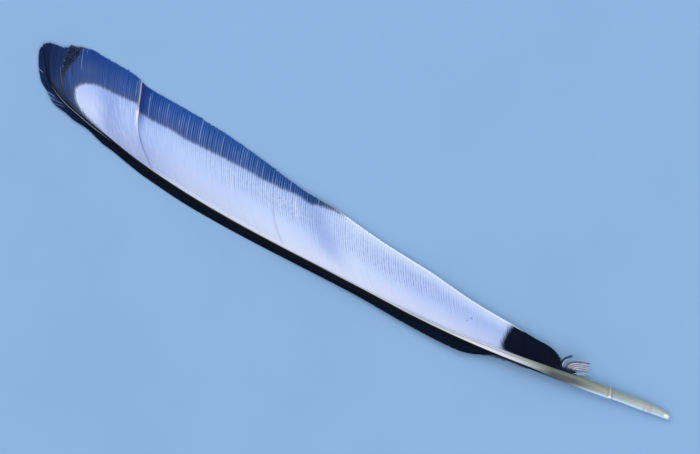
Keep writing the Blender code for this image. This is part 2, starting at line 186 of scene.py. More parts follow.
# Root and end of the barbs that the streak has worn most
WORN_ROOT = 11.6
WORN_END = 6.8
# Pale barbs of the broad vane: distance of the barb's end from the tip, the shares of its length between
# which it is paler than its neighbours, how much
PALE_BARBS = (
    (4.2, 0.3, 0.62, 0.25), (5.4, 0.35, 0.66, 0.2), (8.3, 0.68, 1, 0.4), (9.3, 0.9, 1, 0.3),
    (14.2, 0.6, 0.75, 0.2), (17, 0.38, 0.52, 0.24), (18.8, 0.36, 0.7, 0.26), (19.5, 0.56, 0.72, 0.24),
    (20.5, 0.4, 0.6, 0.24), (21.5, 0.54, 0.72, 0.26), (22.5, 0.44, 0.66, 0.24), (26.4, 0.66, 0.92, 0.5),
    (30.9, 0.72, 0.95, 0.34), (35.2, 0.72, 0.92, 0.28), (36.4, 0.7, 0.95, 0.24), (39.8, 0.74, 1, 0.4),
    (46, 0.72, 0.95, 0.26), (47.2, 0.44, 0.92, 0.3), (47.7, 0.46, 0.66, 0.22), (48.7, 0.42, 0.68, 0.3),
    (49.2, 0.5, 0.68, 0.24), (50.9, 0.75, 0.98, 0.26), (52.2, 0.74, 0.96, 0.26), (55.2, 0.76, 0.95, 0.24),
    (64.4, 0.86, 0.98, 0.5), (65.6, 0.6, 0.97, 0.6), (66.1, 0.56, 0.85, 0.5), (66.7, 0.54, 0.74, 0.36),
)
# The same of the narrow vane, where they are pale from one share of the length on
OUTER_PALE_BARBS = ((1.85, 0.6, 0.75), (6, 0.55, 0.9), (7.3, 0.3, 0.35), (8.6, 0.5, 0.3))
# Ends of the barbs at the notch in the narrow vane's edge
OUTER_NOTCH = 7.0
# The fold in the white field: distance of its middle from the tip, at what side, lean, half width, depth
FOLD_AT = 74.9
FOLD_SIDE = 2.26
FOLD_LEAN = 1.15
FOLD_HALF_WIDTH = 3.4
FOLD_DEPTH = 0.36
# Root of the barb along which the white field is creased
CREASE_AT = 70.6
# Small grey specks: distance, side, radius
SPECKS = ((114.85, 3.5, 0.34), (114.2, 4.4, 0.24), (63.9, 1.75, 0.28))

# Stations along the shaft: first and last distance from the tip, and how many
SHAFT_STRETCHES = ((0, 30, 70), (30.6, 149.2, 170), (149.4, 151.6, 16), (152, LENGTH, 36))
SHAFT_AROUND = 32
# The ring on the quill, and the hole in its end: depth, stations, lip and hole as shares of the quill's width
RING_AT = 150.35
MOUTH_DEPTH = 3.0
MOUTH_STEPS = 5
LIP_SHARE = 0.94
MOUTH_SHARE = 0.62
# Distance from the tip, how much of the shaft's width is pale, counted from the broad vane
PALE_WIDTH = (
    (29.4, 0), (36.2, 0.12), (45.3, 0.16), (67.9, 0.2), (79.2, 0.16), (90.5, 0.2), (97.3, 0.33),
    (101.8, 0.45), (106.4, 0.5), (108.6, 0.53), (113.2, 0.58), (116.5, 0.62), (119.9, 0.68), (124.5, 0.73),
    (129, 0.75), (131.5, 0.75), (134, 0.8), (137, 1),
)
# Bands round the quill: distance from the tip, half width, how much of the band's colour shows, colour
QUILL_BANDS = (
    (RING_AT - 0.42, 0.26, 0.5, (150, 126, 112)),
    (RING_AT + 0.05, 0.24, 0.36, (216, 220, 214)),
    (RING_AT + 0.55, 0.35, 0.4, (112, 122, 108)),
    (158.6, 0.5, 0.18, (140, 140, 128)),
    (160, 0.8, 0.26, (160, 138, 160)),
)
# White places on the quill: distance from the tip, side against half the width, and half the size both ways
QUILL_GLINTS = ((RING_AT + 0.2, 0.85, 0.6, 0.5), (164.05, 0.2, 0.7, 0.62))

# Filaments of down, as distance, side and height of four points: the tuft's outermost and innermost arcs, the
# dark curl beside it with a pale filament on its inner edge as painted highlight, and two fine ones that
# trail off
TUFT_OUTER = ((139, 3.1, 2.5), (138.95, 1.1, 2.9), (140.65, -0.28, 3.1), (143.05, -1.05, 2.8))
TUFT_INNER = ((141.2, 2.75, 2.4), (141.2, 1.95, 2.6), (142, 1.45, 2.7), (143.4, 0.95, 2.5))
DARK_CURL = ((137.6, 3.3, 2.5), (137.25, 1.6, 2.9), (137.6, 0.5, 3.1), (138.45, -0.55, 2.9))
CURL_HIGHLIGHT = ((138.25, 3, 2.5), (137.75, 1.75, 2.9), (137.85, 1, 3.05), (138.25, 0.4, 3))
TRAILING = (
    ((140.9, 2.9, 2.4), (142.3, 1.85, 2.6), (143.3, 1.45, 2.5), (144.5, 1, 2.2)),
    ((141.4, 2.8, 2.3), (142.4, 2.2, 2.4), (143.1, 1.9, 2.3), (143.7, 1.75, 2.1)),
)
# Filaments in the tuft and the dark curl, wisps on each, and dark barbs between tuft and shaft
TUFT_COUNT = 26
CURL_COUNT = 6
WISPS = 44
GAP_BARBS = 420
# Rings along a filament, a wisp and a stray barb
CURL_STEPS = 18
WISP_STEPS = 6
STRAY_STEPS = 14

# How far apart barbules stand, and how much their ribs slant across a barb
BARBULE_PITCH = 0.09
BARBULE_SLANT = 5.0
# Depth of the relief, in metres
FINE_RELIEF = 0.00002
HORN_RELIEF = 0.00003
VANE_GLOSS = 0.05
HORN_GLOSS = 0.1
DOWN_GLOSS = 0.2

# The photograph's frame: its middle in the feather's plan, that place's height, its width, its turn
VIEW_MIDDLE = (80.79, -0.57)
VIEW_HEIGHT = 1.2
VIEW_WIDTH = 158.4
VIEW_TURN = math.radians(30.126)
FOCAL_MM = 120.0
SENSOR_MM = 36.0
LIGHT_SIZE = 0.8


def curve_through(points):
    """A smooth curve through points in order of their first number, as a function of it."""
    x, y = np.array(points, float).T
    step = np.diff(x)
    rise = np.diff(y) / step
    slope = np.concatenate(
        ([rise[0]], (rise[:-1] * step[1:] + rise[1:] * step[:-1]) / (step[:-1] + step[1:]), [rise[-1]])
    )

    def at(where):
        where = np.clip(where, x[0], x[-1])
        i = np.clip(np.searchsorted(x, where, side="right") - 1, 0, len(step) - 1)
        t = (where - x[i]) / step[i]
        return (
            y[i] * (1 + 2 * t) * (1 - t) ** 2
            + slope[i] * step[i] * t * (1 - t) ** 2
            + y[i + 1] * t * t * (3 - 2 * t)
            + slope[i + 1] * step[i] * t * t * (t - 1)
        )

    return at


shaft_side = curve_through(SHAFT_LINE)
shaft_width = curve_through(SHAFT_WIDTH)
shaft_height = curve_through(SHAFT_HEIGHT)


class Vane:
    """What differs between the two vanes; turn is 1 for the broad one and -1 for the narrow one."""

    def __init__(self, turn, bend, *tables):
        self.turn = turn
        self.bend = bend
        curves = map(curve_through, tables)
        self.edge, self.sweep, self.spacing, self.edge_height, self.bulge, self.angle = curves

    def roots(self, last, chance):
        """Where the barbs leave the shaft, in distance from the tip, as a column: one row a barb."""
        found = [FIRST_ROOT]
        while found[-1] < last:
            found.append(found[-1] + float(self.spacing(found[-1])))
        found = np.array(found[:-1])[:, None]
        return found + chance.normal(0, ROOT_SCATTER, found.shape) * self.spacing(found)


INNER = Vane(
    1, INNER_BEND, INNER_EDGE, INNER_SWEEP, INNER_SPACING, INNER_EDGE_HEIGHT, INNER_BULGE, INNER_ANGLE
)
OUTER = Vane(
    -1, OUTER_BEND, OUTER_EDGE, OUTER_SWEEP, OUTER_SPACING, OUTER_EDGE_HEIGHT, OUTER_BULGE, OUTER_ANGLE
)


def plan_to_frame(points):
    """Plan points (distance, side, height in mm) in the frame, in metres."""
    return (np.multiply(points, (-1, 1, 1)) + (X_OF_TIP, -SIDE_OF_MIDDLE, 0)) * MM


def unit(vectors):
    return vectors / np.maximum(np.linalg.norm(vectors, axis=-1, keepdims=True), 1e-12)


def rise(value, low, high):
    """0 up to low, 1 from high on and smooth between."""
    t = np.clip((value - low) / (high - low), 0, 1)
    return t * t * (3 - 2 * t)


def fall(value, low, high):
    return 1 - rise(value, low, high)


def bell(offset, width):
    """1 where offset is 0, and almost 0 from twice the width on."""
    return np.exp(-((offset / width) ** 2))


def shaft_directions(at):
    """Plan directions at these places of the shaft: towards the tip, and towards the narrow vane."""
    towards_tip = unit(np.hstack([np.full_like(at, -STEP), shaft_side(at) - shaft_side(at + STEP)]))
    return towards_tip, np.hstack([towards_tip[:, 1:], -towards_tip[:, :1]])


def barb_lines(vane, roots, shares, reach):
    """Middle lines of the barbs from these roots, as plan points: one row a barb, one column a share."""
    towards_tip, outward = shaft_directions(roots)
    outward = outward * -vane.turn
    start = np.hstack([roots, shaft_side(roots)]) + outward * (ROOT_SIDE * shaft_width(roots))
    end_at = roots - vane.sweep(roots)
    end = start + (np.hstack([end_at, vane.edge(end_at)]) - start) * reach
    angle = np.radians(vane.angle(roots))
    leaving = towards_tip * np.cos(angle) + outward * np.sin(angle)
    knee = start + vane.bend * np.linalg.norm(end - start, axis=-1, keepdims=True) * leaving
    t = shares[:, None]
    plan = start[:, None] * (1 - t) ** 2 + knee[:, None] * 2 * t * (1 - t) + end[:, None] * t * t
    low = shaft_height(roots) + ROOT_HEIGHT * shaft_width(roots)
    height = low + (vane.edge_height(end_at) - low) * shares + vane.bulge(roots) * 4 * shares * (1 - shares)
    return np.concatenate([plan, height[..., None]], axis=-1)


def half_gaps(lines):
    """Half the distance from each barb to its neighbours, measured square to it in the plan."""
    step = np.gradient(lines[..., :2], axis=0)
    along = unit(np.gradient(lines[..., :2], axis=1))
    return 0.5 * np.abs(step[..., 0] * along[..., 1] - step[..., 1] * along[..., 0])


def end_slant(vane, lines, ends):
    """How slanting a barb's end is cut, by the edge's mirror image there: shift along it a unit across."""
    along = unit(np.diff(plan_to_frame(lines)[:, -2:, :2], axis=1)[:, 0])
    across = np.stack([-along[:, 1], along[:, 0]], axis=-1)
    edge = unit(np.hstack([np.full_like(ends, -2 * STEP), vane.edge(ends - STEP) - vane.edge(ends + STEP)]))
    over = (edge * across).sum(-1, keepdims=True)
    over = np.where(np.abs(over) < LEAST_ACROSS, LEAST_ACROSS, over)
    return np.clip((edge * along).sum(-1, keepdims=True) / over, -MOST_SLANT, MOST_SLANT)


def link(name, data):
    """Puts an object that holds this data into the scene."""
    made = bpy.data.objects.new(name, data)
    bpy.context.scene.collection.objects.link(made)
    return made


def build_piece(name, points, faces, material, numbers):
    """A smooth mesh piece with one number a point, under each name, for its material to read."""
    mesh = bpy.data.meshes.new(name)
    mesh.from_pydata(points.reshape(-1, 3).tolist(), [], faces)
    mesh.shade_smooth()
    mesh.set_sharp_from_angle(angle=SHARP_FROM)
    mesh.materials.append(material)
    for number, values in numbers.items():
        spread = np.broadcast_to(values, points.shape[:-1]).astype(np.float32)
        mesh.attributes.new(number, "FLOAT", "POINT").data.foreach_set("value", spread.ravel())
    return link(name, mesh)


def build_strips(name, lines, half_width, section, depth, material, numbers, slant=None):
    """A piece of closed strips on the lines, with numbers for its rings; "across" is a place in a ring."""
    centre = plan_to_frame(lines)
    centre[..., 2] = np.maximum(centre[..., 2], LOWEST * MM)
    along = unit(np.gradient(centre, axis=1))
    across = unit(np.stack([-along[..., 1], along[..., 0], np.zeros_like(along[..., 0])], axis=-1))
    up = np.cross(along, across)
    aside, above = np.array(section).T
    points = (
        centre[:, :, None]
        + across[:, :, None] * (half_width[..., None] * aside * MM)[..., None]
        + up[:, :, None] * (depth[..., None] * above * MM)[..., None]
    )
    if slant is not None:
        shift = slant * half_width[:, -1:] * aside * MM
        points[:, -1] += along[:, -1, None] * shift[..., None]
    number = np.arange(points.size // 3).reshape(points.shape[:3])
    after = np.roll(number, -1, axis=2)
    sides = np.stack([number[:, :-1], after[:, :-1], after[:, 1:], number[:, 1:]], axis=-1).reshape(-1, 4)
    faces = sides.tolist() + number[:, 0, ::-1].tolist() + number[:, -1].tolist()
    held = {key: np.asarray(values)[..., None] for key, values in numbers.items()}
    return build_piece(name, points, faces, material, {"across": aside, **held})


def smooth_loop(points, per_side=6):
    """A closed outline made round between its points."""
    p = np.array(points, float)
    before, after, last = np.roll(p, 1, 0), np.roll(p, -1, 0), np.roll(p, -2, 0)
    t = np.linspace(0, 1, per_side, endpoint=False)[:, None, None]
    curve = 0.5 * (
        2 * p
        + (after - before) * t
        + (2 * before - 5 * p + 4 * after - last) * t**2
        + (3 * p - before - 3 * after + last) * t**3
    )
    return curve.transpose(1, 0, 2).reshape(-1, 2)


def distance_to_chain(points, chain):
    """Distance from each plan point to a chain of segments, and where on the chain the nearest place is."""
    best = np.full(points.shape[:-1], np.inf)
    where = np.zeros_like(best)
    for i, (a, b) in enumerate(zip(chain[:-1], chain[1:])):
        side = b - a
        t = np.clip((points - a) @ side / max(side @ side, 1e-12), 0, 1)
        distance = np.linalg.norm(points - a - t[..., None] * side, axis=-1)
        where = np.where(distance < best, i + t, where)
        best = np.minimum(distance, best)
    return best, where


def depth_in_white(points):
    """Distance from the white field's border, positive inside it."""
    loop = smooth_loop(WHITE_FIELD)
    distance, _ = distance_to_chain(points, np.concatenate([loop, loop[:1]]))
    d, s = points[..., 0], points[..., 1]
    inside = np.zeros(d.shape, bool)
    for (d0, s0), (d1, s1) in zip(loop, np.roll(loop, -1, 0)):
        inside ^= ((s0 > s) != (s1 > s)) & (d < d0 + (s - s0) * ((d1 - d0) / (s1 - s0 or 1e-12)))
    return np.where(inside, distance, -distance)


def worn_share(points):
    """How worn and brown a place near the tip is."""
    streak = np.array(WORN_STREAK)
    distance, where = distance_to_chain(points, streak[:, :2])
    half_width = np.interp(where, np.arange(len(streak)), streak[:, 2])
    return fall(distance / half_width, 0.6, 1.3)


def fold_share(points):
    """How deep in the fold of the white field a place is."""
    off = points[..., 0] - FOLD_AT - FOLD_LEAN * (points[..., 1] - FOLD_SIDE)
    fading = rise(points[..., 1], -2.5, 1.0) * fall(points[..., 1], 5.5, 10.0)
    return bell(off, FOLD_HALF_WIDTH) * fading


def ripple(points):
    """Slow waves of a vane that has lain and been handled, as height in mm."""
    d, s = points[..., 0], points[..., 1]
    waves = 0.05 * np.sin(d / 2.9 + 0.5 * s) + 0.06 * np.sin(d / 6.1 - 0.33 * s + 1.0)
    waves += 0.09 * np.sin(d / 13.0 + 0.2 * s + 2.0)
    return waves - FOLD_DEPTH * fold_share(points)


def pale_share(ends, shares, chance):
    """Which barbs of the broad vane stand out paler than their neighbours, and along which part."""
    pale = np.zeros((len(ends), len(shares)))
    for end, begin, stop, strength in PALE_BARBS:
        barb = np.abs(ends - end).argmin()
        pale[barb] = strength * rise(shares, begin, begin + 0.08) * fall(shares, stop, stop + 0.03)
    stray = (chance.random(ends.shape) < 0.4) & (ends > 22) & (ends < 66)
    begin = chance.uniform(0.62, 0.9, ends.shape)
    stop = begin + chance.uniform(0.08, 0.2, ends.shape)
    strength = chance.uniform(0.06, 0.24, ends.shape)
    pale += stray * strength * rise(shares, begin, begin + 0.04) * (shares < stop)
    return np.minimum(pale, 1)


def build_inner_vane(material):
    """The broad vane, barb by barb from the tip to the foot, in one piece on each side of the split."""
    chance = np.random.default_rng(SEED)
    roots = INNER.roots(VANE_END - 0.4, chance)
    ends = roots - INNER.sweep(roots)
    shares = np.linspace(0, 1, INNER_STEPS)
    length = np.hypot(INNER.sweep(roots), shaft_side(roots) - INNER.edge(ends))
    loose = fall(ends, 70.0, 78.0)
    uneven = chance.normal(0, 0.035, roots.shape) + 0.2 * (chance.random(roots.shape) < 0.05)
    reach = 1 + (uneven * loose + chance.normal(0, 0.012, roots.shape) * (1 - loose)) / length
    lines = barb_lines(INNER, roots, shares, reach)

    # The split: one side lies over the other, which sinks under it
    tip_side = roots < SPLIT_AT
    beyond = roots - SPLIT_AT
    near = np.exp(-np.abs(beyond) / 0.9)
    opened = rise(shares, 0.05, 0.5)
    lines[..., 0] += np.where(tip_side, 0.1, 0.06) * near * opened
    lines[..., 2] += np.where(tip_side, 0.26, -0.16) * near * opened
    lines[..., 0] += bell(beyond, 3.0) * curve_through(SPLIT_BOW)(shares)

    # Worn barbs bow towards the tip
    lines[..., 0] += bell(roots - WORN_ROOT, 1.0) * (-0.35 * np.sin(math.pi * shares) + 0.3 * shares**3)

    lines[..., 2] += ripple(lines[..., :2]) * rise(shares, 0.0, 0.25)
    lines[..., 2] += chance.normal(0, 0.012, roots.shape) * rise(shares, 0, 0.2)

    # The edge towards the foot rolls down
    to_edge = (1 - shares) * length
    rolled = rise(ends, 74.0, 80.0) * fall(to_edge, 0.1, 0.75)
    lines[..., 2] -= 0.3 * rolled

    # Towards its end a barb is thinner, and the worn ones are hairs there
    taper = 1 - (0.34 * loose + 0.04) * fall(to_edge, 0.0, 0.16 + 0.3 * loose)
    frayed = bell(ends - WORN_END, 1.1) * fall(to_edge, 0.5, 2.2)
    half_width = INNER_OVERLAP * half_gaps(lines) * taper * (1 - 0.3 * frayed)

    depth = INNER_DEPTH * (1.5 - 0.9 * shares)
    slant = end_slant(INNER, lines, ends)
    plan = lines[..., :2]
    crease_shade = bell(roots - CREASE_AT, 0.3) - 0.6 * bell(roots - CREASE_AT - 0.75, 0.3)
    numbers = {
        "white": depth_in_white(plan) + chance.normal(0, 0.05, roots.shape),
        "from_tip": plan[..., 0],
        "side": plan[..., 1],
        "share": shares,
        "tone": chance.random(roots.shape),
        "worn": worn_share(plan) * (0.7 + 0.3 * chance.random(roots.shape)),
        "pale": pale_share(ends, shares, chance),
        "to_edge": to_edge,
        "split_edge_highlight": (roots == roots[tip_side].max()) * opened,
        "split_fringe_and_highlight": np.where(tip_side, rise(beyond, -1.7, -0.5), 0) * opened,
        "split_shade": np.where(tip_side, 0, np.exp(-beyond / 2.2)) * opened,
        "split_shadow_line": np.where(tip_side, 0, np.exp(-beyond / 0.35)) * rise(shares, 0.0, 0.1),
        "fold": fold_share(plan),
        "crease_shade": crease_shade * (rise(shares, 0.04, 0.1) * fall(shares, 0.45, 0.62)),
        "rim_highlight": rolled,
    }
    pieces = []
    for name, held in (("inner_vane_tip", tip_side[:, 0]), ("inner_vane", ~tip_side[:, 0])):
        own = {key: np.broadcast_to(values, half_width.shape)[held] for key, values in numbers.items()}
        strips = lines[held], half_width[held], BARB_SECTION, depth
        pieces.append(build_strips(name, *strips, material, own, slant[held]))
    return pieces


def build_outer_vane(material):
    """The narrow vane, whose barbs lie almost along the shaft and come apart towards its foot."""
    chance = np.random.default_rng(SEED + 1)
    roots = OUTER.roots(134.5, chance)
    ends = roots - OUTER.sweep(roots)
    shares = np.linspace(0, 1, OUTER_STEPS)
    fringe = rise(ends, 119.5, 122.5)
    reach = 1 + chance.normal(0, 0.006, roots.shape) + fringe * chance.normal(-0.12, 0.14, roots.shape)
    lines = barb_lines(OUTER, roots, shares, reach)
    lines[..., 1] += fringe * chance.normal(0, 0.12, roots.shape) * shares**2
    lines[..., 2] += chance.normal(0, 0.015, roots.shape) * rise(shares, 0, 0.2)

    # Behind the notch near the tip the barbs stand apart
    parted = bell(ends - OUTER_NOTCH, 0.9) * rise(shares, 0.45, 0.8)
    half_width = OUTER_OVERLAP * half_gaps(lines) * (1 - 0.55 * rise(shares, 0.93, 1.0))
    half_width *= (1 - 0.5 * parted) * (1 - 0.72 * fringe * rise(shares, 0.0, 0.5))
    half_width = np.clip(half_width, 0.022, 0.3)
    pale = np.zeros_like(half_width)
    for end, begin, strength in OUTER_PALE_BARBS:
        barb = np.abs(ends - end).argmin()
        pale[barb] = strength * rise(shares, begin, begin + 0.15)
    numbers = {
        "from_tip": lines[..., 0],
        "tone": chance.random(roots.shape),
        "fringe": fringe * rise(shares, 0.05, 0.5),
        "parted": parted,
        "pale": pale,
    }
    depth = OUTER_DEPTH - 0.03 * fringe * shares
    slant = end_slant(OUTER, lines, ends)
    return build_strips("outer_vane", lines, half_width, BARB_SECTION, depth, material, numbers, slant)


def shaft_rings(at, radius_share):
    """Points round the shaft at these distances from the tip, as offsets (side, height) from its middle."""
    turn = np.linspace(0, math.tau, SHAFT_AROUND, endpoint=False)
    rachis = fall(at, 128.0, 142.0)
    power = 2 / (2 + 1.1 * rachis)
    side = np.sign(np.cos(turn)) * np.abs(np.cos(turn)) ** power
    height = np.sign(np.sin(turn)) * np.abs(np.sin(turn)) ** power
    groove = rachis * 0.28 * bell(side, 0.22) * (height < 0)
    crown = rachis * 0.06 * bell(side, 0.5) * (height > 0)
    collar = 0.07 * bell(at - RING_AT, 0.28) - 0.05 * bell(at - RING_AT - 0.75, 0.22)
    half = shaft_width(at) / 2 * radius_share + collar
    return np.stack([side, height * (1 - groove + crown)], axis=-1) * half[..., None]


def build_shaft(material):
    """Quill and rachis in one taper, round at the quill and squared with a groove below along the vanes."""
    outside = np.concatenate([np.linspace(*stretch) for stretch in SHAFT_STRETCHES])
    into = LENGTH - np.linspace(0, MOUTH_DEPTH, MOUTH_STEPS)
    at = np.concatenate([outside, into])[:, None]
    radius_share = np.repeat((1.0, LIP_SHARE, MOUTH_SHARE), (len(outside) - 1, 1, MOUTH_STEPS))
    rings = shaft_rings(at, radius_share[:, None])
    aside = shaft_directions(at)[1][:, None] * rings[..., :1]
    points = np.hstack([at, shaft_side(at), shaft_height(at)])[:, None]
    points = points + np.concatenate([aside, rings[..., 1:]], axis=-1)
    points[..., 2] = np.maximum(points[..., 2], SHAFT_LOWEST)
    number = np.arange(rings.size // 2).reshape(rings.shape[:2])
    after = np.roll(number, -1, axis=1)
    sides = np.stack([number[:-1], number[1:], after[1:], after[:-1]], axis=-1).reshape(-1, 4)
    faces = sides.tolist() + [number[0].tolist(), number[-1, ::-1].tolist()]
    numbers = {"from_tip": at, "lateral": rings[..., 0] / (shaft_width(at) / 2)}
    return build_piece("shaft", plan_to_frame(points), faces, material, numbers)


def bent_lines(controls, steps):
    """Smooth lines through rows of four control points."""
    p = np.asarray(controls, float)
    t = np.linspace(0, 1, steps)[None, :, None]
    a, b, c, d = (p[:, i : i + 1] for i in range(4))
    # The two middle points are passed at a third and two thirds
    b2 = (-5 * a + 18 * b - 9 * c + 2 * d) / 6
    c2 = (2 * a - 9 * b + 18 * c - 5 * d) / 6
    return a * (1 - t) ** 3 + 3 * b2 * t * (1 - t) ** 2 + 3 * c2 * t * t * (1 - t) + d * t**3


def thinning(radius, share, steps):
    """A radius at each step along a line, which loses this share of itself by the end."""
    return radius * (1 - share * np.linspace(0, 1, steps))


def down_filaments(chance):
    """Control points, tint (0 is dark, 1 the palest) and thickness of every filament of down."""
    held = [(TUFT_OUTER, 0.42, 1.0)]
    for k in range(1, TUFT_COUNT):
        inward = k / (TUFT_COUNT - 1)
        tint = 0.43 if inward < 0.14 else (0.95, 0.93, 0.9, 0.5, 0.4)[k % 5]
        held.append((np.array(TUFT_OUTER) * (1 - inward) + np.array(TUFT_INNER) * inward, tint, 1.0))
    for k in range(CURL_COUNT):
        held.append((DARK_CURL + np.array([0.075, 0.04, -0.02]) * k, 0.05 + 0.02 * k, 1.0))
    held.append((CURL_HIGHLIGHT, 0.97, 2.2))
    held += [(line, 1.0, 1.3) for line in TRAILING]
    controls, tints, thickness = (np.array(part, float) for part in zip(*held))
    controls[:, 1:] += chance.normal(0, 0.04, controls[:, 1:].shape)
    return controls, tints, thickness


def wisps_along(line, reach_share, chance):
    """Control points of the wisps that one filament of down carries."""
    place = chance.uniform(0.05, 1.0, WISPS) * (len(line) - 1)
    low = np.minimum(place.astype(int), len(line) - 2)
    part = (place - low)[:, None]
    base = line[low] * (1 - part) + line[low + 1] * part
    along = unit(line[low + 1] - line[low])
    out = chance.normal(0, 1, (WISPS, 3))
    out = unit(out - along * (out * along).sum(-1, keepdims=True))
    length = chance.uniform(0.3, 0.6, WISPS)[:, None] * reach_share
    reach = unit(1.2 * along + 0.5 * out) * length
    bow = out * length * 0.12
    return np.stack([base, base + reach / 3 + bow, base + reach / 1.5 + bow, base + reach], axis=1)


def gap_barbs(count, chance):
    """Control points of the short dark barbs that close the gap between the tuft and the shaft."""
    at = chance.uniform(136.0, 140.9, count)
    foot = np.stack([at, shaft_side(at) - 0.4 * shaft_width(at), np.full(count, 2.3)], axis=-1)
    reach = np.stack([chance.uniform(*limits, count) for limits in ((-0.3, 0.9), (-1.2, -0.4), (0, 0.3))], -1)
    return np.stack([foot, foot + reach * 0.33, foot + reach * 0.7, foot + reach + (0.25, 0, 0)], axis=1)


def build_down_tuft(material):
    """The downy curls at the foot of the broad vane, each with its wisps."""
    chance = np.random.default_rng(SEED + 2)
    controls, tints, thickness = down_filaments(chance)
    curls = bent_lines(controls, CURL_STEPS)
    carried = [wisps_along(line, 0.5 if tint > 0.9 else 1.0, chance) for line, tint in zip(curls, tints)]
    wisps = bent_lines(np.concatenate([*carried, gap_barbs(GAP_BARBS, chance)]), WISP_STEPS)
    wisp_tints = np.concatenate([np.repeat(tints, WISPS), np.zeros(GAP_BARBS)])
    wisp_radius = np.tile(thinning(0.016, 0.6, WISP_STEPS), (len(wisps), 1))
    wisp_radius[-GAP_BARBS:] *= 3.0
    pieces = []
    for name, lines, radius, tint in (
        ("down_curls", curls, thinning(0.055, 0.5, CURL_STEPS) * thickness[:, None], tints),
        ("down_wisps", wisps, wisp_radius, wisp_tints),
    ):
        numbers = {"tint": tint[:, None], "from_shaft": shaft_side(lines[..., 0]) - lines[..., 1]}
        pieces.append(build_strips(name, lines, radius, TUBE_SECTION, radius, material, numbers))
    return pieces


def build_stray_barbs(material):
    """Loose fine barbs along the shaft where the narrow vane runs out, most brown and a few pale."""
    chance = np.random.default_rng(SEED + 3)
    brown, pale = 46, 7
    roots = np.concatenate([chance.uniform(122.5, 133.0, brown), chance.uniform(128.0, 131.0, pale)])
    start = np.stack([roots, shaft_side(roots) + 0.42 * shaft_width(roots), shaft_height(roots) - 0.2], -1)
    length = chance.uniform(1.6, 3.0, len(roots))[:, None]
    lean = np.radians(chance.uniform(6, 17, len(roots)))
    reach = np.stack([-np.cos(lean), np.sin(lean) + 0.15, np.full(len(roots), -0.1)], axis=-1) * length
    curl = np.array([0.2, 0.3, 0.1]) * chance.normal(0.2, 0.5, len(roots))[:, None]
    end = start + reach + curl
    controls = np.stack([start, start + reach / 3, start + reach / 1.5 + 0.35 * curl, end], axis=1)
    lines = bent_lines(controls, STRAY_STEPS)
    radius = np.tile(thinning(0.03, 0.7, STRAY_STEPS), (len(roots), 1))
    tints = np.concatenate([chance.uniform(0.25, 0.4, brown), np.ones(pale)])
    numbers = {"tint": tints[:, None], "from_shaft": 2.0}
    return build_strips("stray_barbs", lines, radius, TUBE_SECTION, radius, material, numbers)


def linear(red, green, blue):
    """An sRGB colour of 0 to 255 as a linear one with alpha."""
    shares = (c / 255 for c in (red, green, blue))
    return (*(c / 12.92 if c <= 0.04045 else ((c + 0.055) / 1.055) ** 2.4 for c in shares), 1.0)


